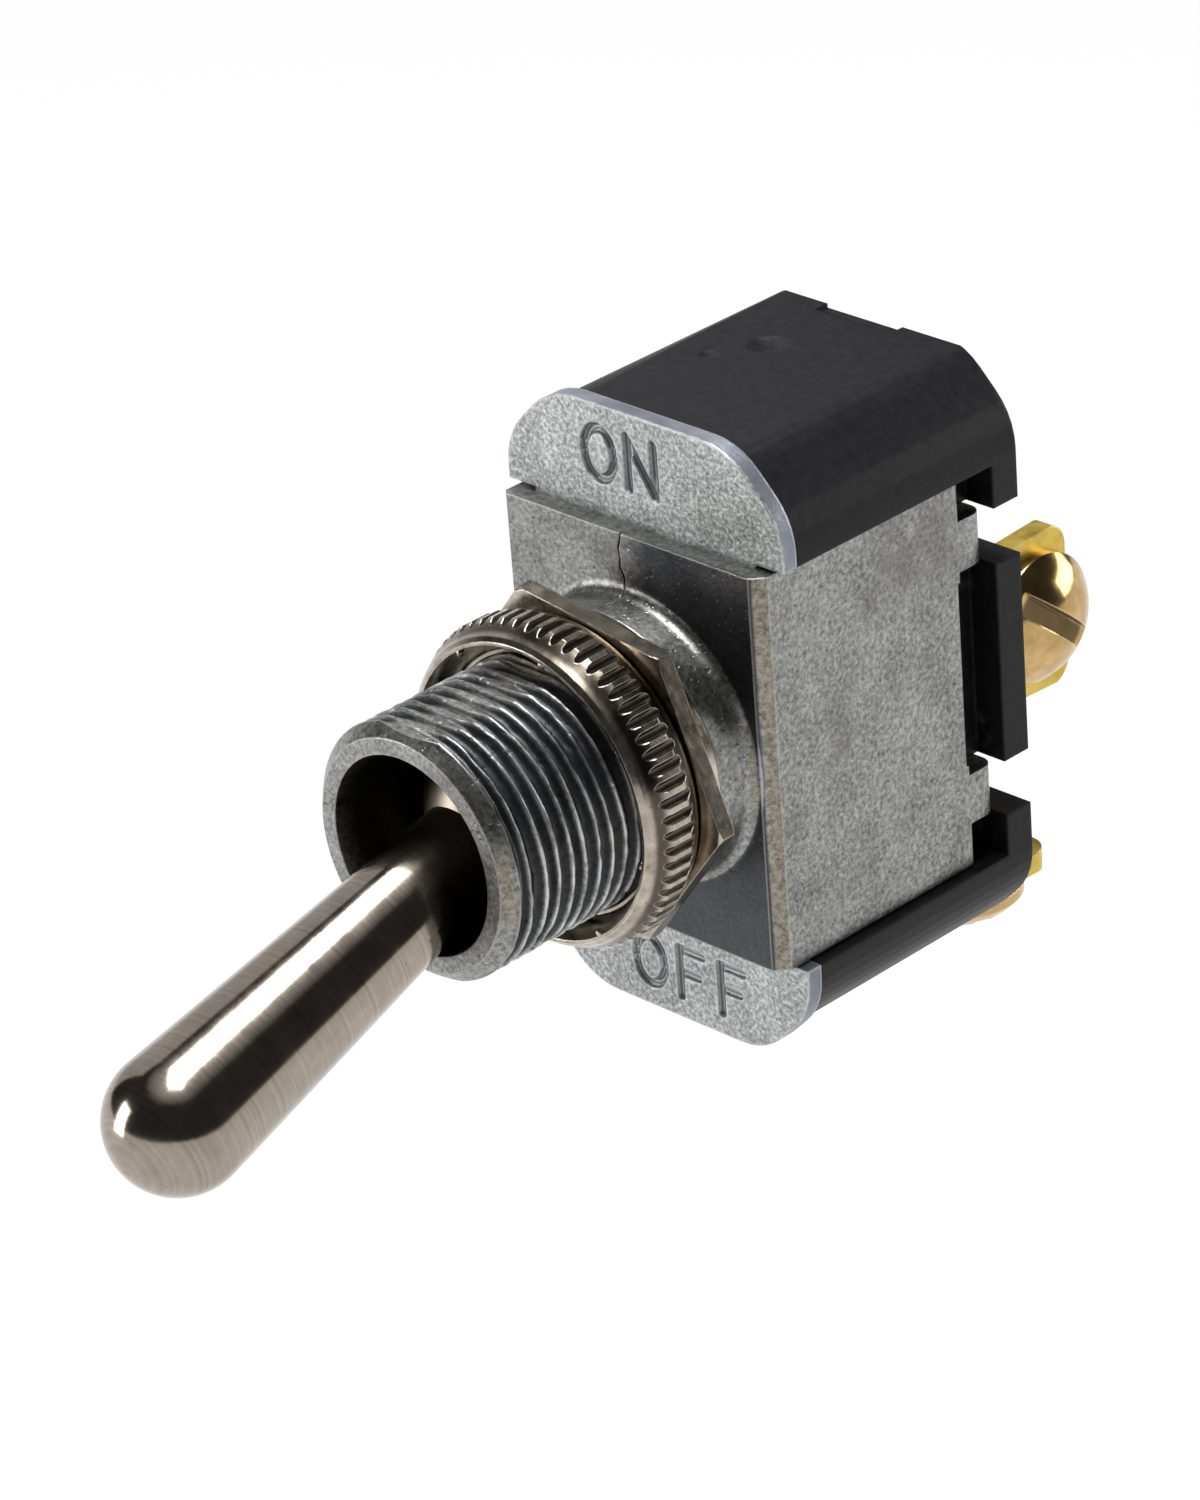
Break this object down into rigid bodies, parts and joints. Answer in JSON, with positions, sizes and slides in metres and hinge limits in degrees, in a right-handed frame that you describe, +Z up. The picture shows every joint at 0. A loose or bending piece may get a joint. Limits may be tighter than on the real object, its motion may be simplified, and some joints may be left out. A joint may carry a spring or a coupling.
{
  "type": "panel toggle switch",
  "caption": "Heavy-duty bat-handle panel toggle switch: threaded bushing with hex nut and knurled nut, moulded base, screw terminals on right-angle tabs.",
  "frame": {"origin": "where the bushing axis meets the shoulder that the panel hardware seats on", "axes": "+Y along the bushing axis from its free end towards the base, +Z up the long way of the base, +X towards the common terminal"},
  "size_m": [0.0164, 0.053, 0.0317],
  "materials": {
    "zinc": "die-cast, dull grey, speckled",
    "cover_metal": "dull, fine stippled",
    "fibre": "matt vulcanised fibre",
    "phenolic": "moulded, matt to semi-gloss black",
    "nickel": "bright nickel plate on brass",
    "steel_pin": "drawn",
    "brass_inner": "stamped",
    "spring_steel": "drawn wire",
    "silver": "satin silver",
    "terminal_brass": "stamped, matt",
    "screw_brass": "turned, polished",
    "nickel_hardware": "nickel plate, worn at the edges"
  },
  "bodies": {
    "housing": {"frame": "zinc", "cover_plate": "cover_metal", "fibre_liner": "fibre", "base": "phenolic", "pivot_pin": "steel_pin", "fulcrum_bracket": "brass_inner", "common_rivets": "brass_inner", "common_terminal": "terminal_brass", "common_screw": "screw_brass", "load_terminal": "terminal_brass", "load_rivet": "brass_inner", "load_contact": "silver", "load_screw": "screw_brass", "hex_nut": "nickel_hardware", "knurled_nut": "nickel_hardware"},
    "lever": {"lever": "nickel", "plunger_spring": "spring_steel"},
    "plunger": {"plunger": "brass_inner"},
    "rocker": {"rocker": "brass_inner", "moving_contact": "silver"}
  },
  "joints": [
    {"name": "lever_tilt", "type": "hinge", "parent": "housing", "child": "lever", "pos_m": [0, -0.0055, 0], "axis": [-1, 0, 0], "range_deg": [0, 34]},
    {"name": "plunger_slide", "type": "slide", "parent": "lever", "child": "plunger", "axis": [0, -0.9563, -0.2924], "range_m": [0, 0.0013], "stiffness_N_per_m": 1000, "springref_m": -0.001, "deforming": ["plunger_spring"]},
    {"name": "rocker_tilt", "type": "hinge", "parent": "housing", "child": "rocker", "pos_m": [0, 0.0124, 0], "axis": [1, 0, 0], "range_deg": [0, 14]}
  ],
  "couplings": [
    {"joint": "rocker_tilt", "follows": "lever_tilt", "ratio": 0.4117}
  ]
}
